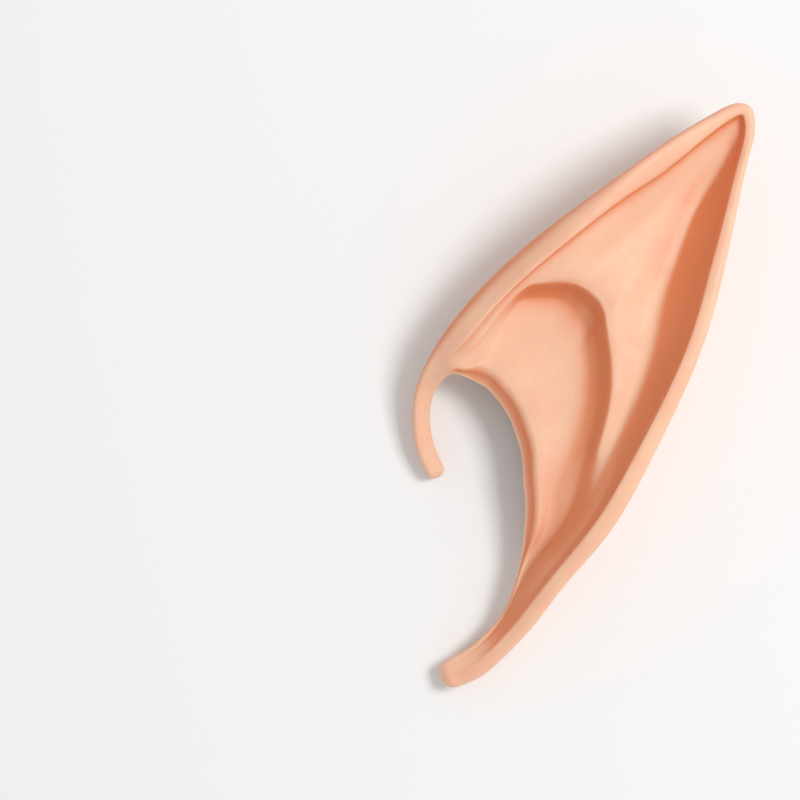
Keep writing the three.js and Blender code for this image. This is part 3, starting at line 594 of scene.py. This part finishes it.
# Painted shade: a deeper orange laid where shade falls, in the folds and on steep walls
PAINTED_SHADE_PEACH = (0.82, 0.255, 0.1, 1)
CLOUDS_PER_METRE = 110
SHINE_PATCHES_PER_METRE = 420
SWELLINGS_PER_METRE = 260
GRAINS_PER_METRE = 2600
SWELLING_DEPTH = 0.00012
GRAIN_DEPTH = 0.00005
latex = bpy.data.materials.new("latex_skin")
latex.use_nodes = True
nodes = latex.node_tree.nodes
links = latex.node_tree.links
shader = nodes["Principled BSDF"]
shader.inputs["IOR"].default_value = 1.45
shader.inputs["Subsurface Weight"].default_value = 0.35
shader.inputs["Subsurface Radius"].default_value = (1.0, 0.42, 0.22)
shader.inputs["Subsurface Scale"].default_value = 0.0022

coordinates = nodes.new("ShaderNodeTexCoord")


def noise(patches_per_metre, detail):
    node = nodes.new("ShaderNodeTexNoise")
    node.inputs["Scale"].default_value = patches_per_metre
    node.inputs["Detail"].default_value = detail
    links.new(coordinates.outputs["Object"], node.inputs["Vector"])
    return node.outputs["Fac"]


def ranged(value, low, high, lowest=0, highest=1):
    """Turns what lies between low and high into lowest to highest, with soft ends."""
    node = nodes.new("ShaderNodeMapRange")
    node.interpolation_type = "SMOOTHSTEP"
    node.inputs["From Min"].default_value = low
    node.inputs["From Max"].default_value = high
    node.inputs["To Min"].default_value = lowest
    node.inputs["To Max"].default_value = highest
    links.new(value, node.inputs["Value"])
    return node.outputs["Result"]


def blended(share):
    node = nodes.new("ShaderNodeMix")
    node.data_type = "RGBA"
    links.new(share, node.inputs["Factor"])
    return node


def bumped(height, depth, under=None):
    node = nodes.new("ShaderNodeBump")
    node.inputs["Strength"].default_value = 1
    node.inputs["Distance"].default_value = depth
    links.new(height, node.inputs["Height"])
    if under:
        links.new(under, node.inputs["Normal"])
    return node.outputs["Normal"]


clouds = blended(ranged(noise(CLOUDS_PER_METRE, detail=3), low=0.35, high=0.7))
clouds.inputs["A"].default_value = PEACH
clouds.inputs["B"].default_value = ROSY_PEACH
# Painted shade: the deeper orange laid over the peach where the painted shade attribute says
painted_shade_node = nodes.new("ShaderNodeAttribute")
painted_shade_node.attribute_name = "painted_fold_shade"
colour_with_painted_shade = blended(ranged(painted_shade_node.outputs["Fac"], low=0.15, high=1.4, highest=0.95))
colour_with_painted_shade.inputs["B"].default_value = PAINTED_SHADE_PEACH
links.new(clouds.outputs["Result"], colour_with_painted_shade.inputs["A"])
links.new(colour_with_painted_shade.outputs["Result"], shader.inputs["Base Color"])
shine = noise(SHINE_PATCHES_PER_METRE, detail=4)
links.new(ranged(shine, low=0.3, high=0.7, lowest=0.43, highest=0.56), shader.inputs["Roughness"])
swellings = bumped(noise(SWELLINGS_PER_METRE, detail=1), SWELLING_DEPTH)
grain = bumped(noise(GRAINS_PER_METRE, detail=3), GRAIN_DEPTH, under=swellings)
links.new(grain, shader.inputs["Normal"])

ear_tip_skin.data.materials.append(latex)
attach(ear_tip_skin, "root")
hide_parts("ear_tip")

# Floor: a plain pale studio table, wide enough that its edges are never in view
FLOOR_SIDE = 14.0
FLOOR_PAINT = (0.9, 0.9, 0.9, 1)
FLOOR_ROUGHNESS = 0.9
floor_mesh = bpy.data.meshes.new("studio_floor")
half = FLOOR_SIDE / 2
corners = [(-half, -half, 0), (half, -half, 0), (half, half, 0), (-half, half, 0)]
floor_mesh.from_pydata(corners, [], [(0, 1, 2, 3)])
studio_floor = bpy.data.objects.new("studio_floor", floor_mesh)
bpy.context.scene.collection.objects.link(studio_floor)
floor_paint = bpy.data.materials.new("pale_floor")
floor_paint.use_nodes = True
floor_shader = floor_paint.node_tree.nodes["Principled BSDF"]
floor_shader.inputs["Base Color"].default_value = FLOOR_PAINT
floor_shader.inputs["Roughness"].default_value = FLOOR_ROUGHNESS
floor_mesh.materials.append(floor_paint)

# Studio light: a large soft light from the right, and an even pale surround that fills the shade
SURROUND_COLOUR = (1, 1, 1, 1)
SURROUND_STRENGTH = 0.6
world = bpy.data.worlds.new("studio")
world.use_nodes = True
surround = world.node_tree.nodes["Background"]
surround.inputs["Color"].default_value = SURROUND_COLOUR
surround.inputs["Strength"].default_value = SURROUND_STRENGTH
bpy.context.scene.world = world


def soft_light(name, azimuth, elevation, distance, side, watts):
    """A square light aimed at the ear tip. Azimuth 0 is towards +X, 90 towards +Y."""
    turn = math.radians(azimuth)
    rise = math.radians(elevation)
    data = bpy.data.lights.new(name, "AREA")
    data.shape = "SQUARE"
    data.size = side
    data.energy = watts
    light = bpy.data.objects.new(name, data)
    light.location = (
        distance * math.cos(turn) * math.cos(rise),
        distance * math.sin(turn) * math.cos(rise),
        distance * math.sin(rise),
    )
    light.rotation_euler = (-light.location).to_track_quat("-Z", "Y").to_euler()
    bpy.context.scene.collection.objects.link(light)


soft_light("key_light", azimuth=15, elevation=55, distance=1.2, side=0.4, watts=7.8)
bpy.context.scene.view_settings.view_transform = "Standard"

# Camera: straight above, as in the photograph, with a long lens. The photograph's frame is 800
# pixels wide; the ear tip's middle is right of its middle.
FRAME_PIXELS = 800
PIXEL_SIZE = 0.0001915  # on the object, in metres
EAR_MIDDLE_PIXEL = (583.5, 396)
CAMERA_HEIGHT = 2.0
MIDDLE_HEIGHT = 0.012  # of the ear tip, where a pixel has that size
SENSOR = 36
FARTHEST_VIEW = 20
camera_data = bpy.data.cameras.new("camera")
camera_data.sensor_width = SENSOR
camera_data.lens = SENSOR * (CAMERA_HEIGHT - MIDDLE_HEIGHT) / (FRAME_PIXELS * PIXEL_SIZE)
camera_data.clip_end = FARTHEST_VIEW
camera = bpy.data.objects.new("camera", camera_data)
camera.location = (
    (FRAME_PIXELS / 2 - EAR_MIDDLE_PIXEL[0]) * PIXEL_SIZE,
    (EAR_MIDDLE_PIXEL[1] - FRAME_PIXELS / 2) * PIXEL_SIZE,
    CAMERA_HEIGHT,
)
bpy.context.scene.collection.objects.link(camera)
bpy.context.scene.camera = camera
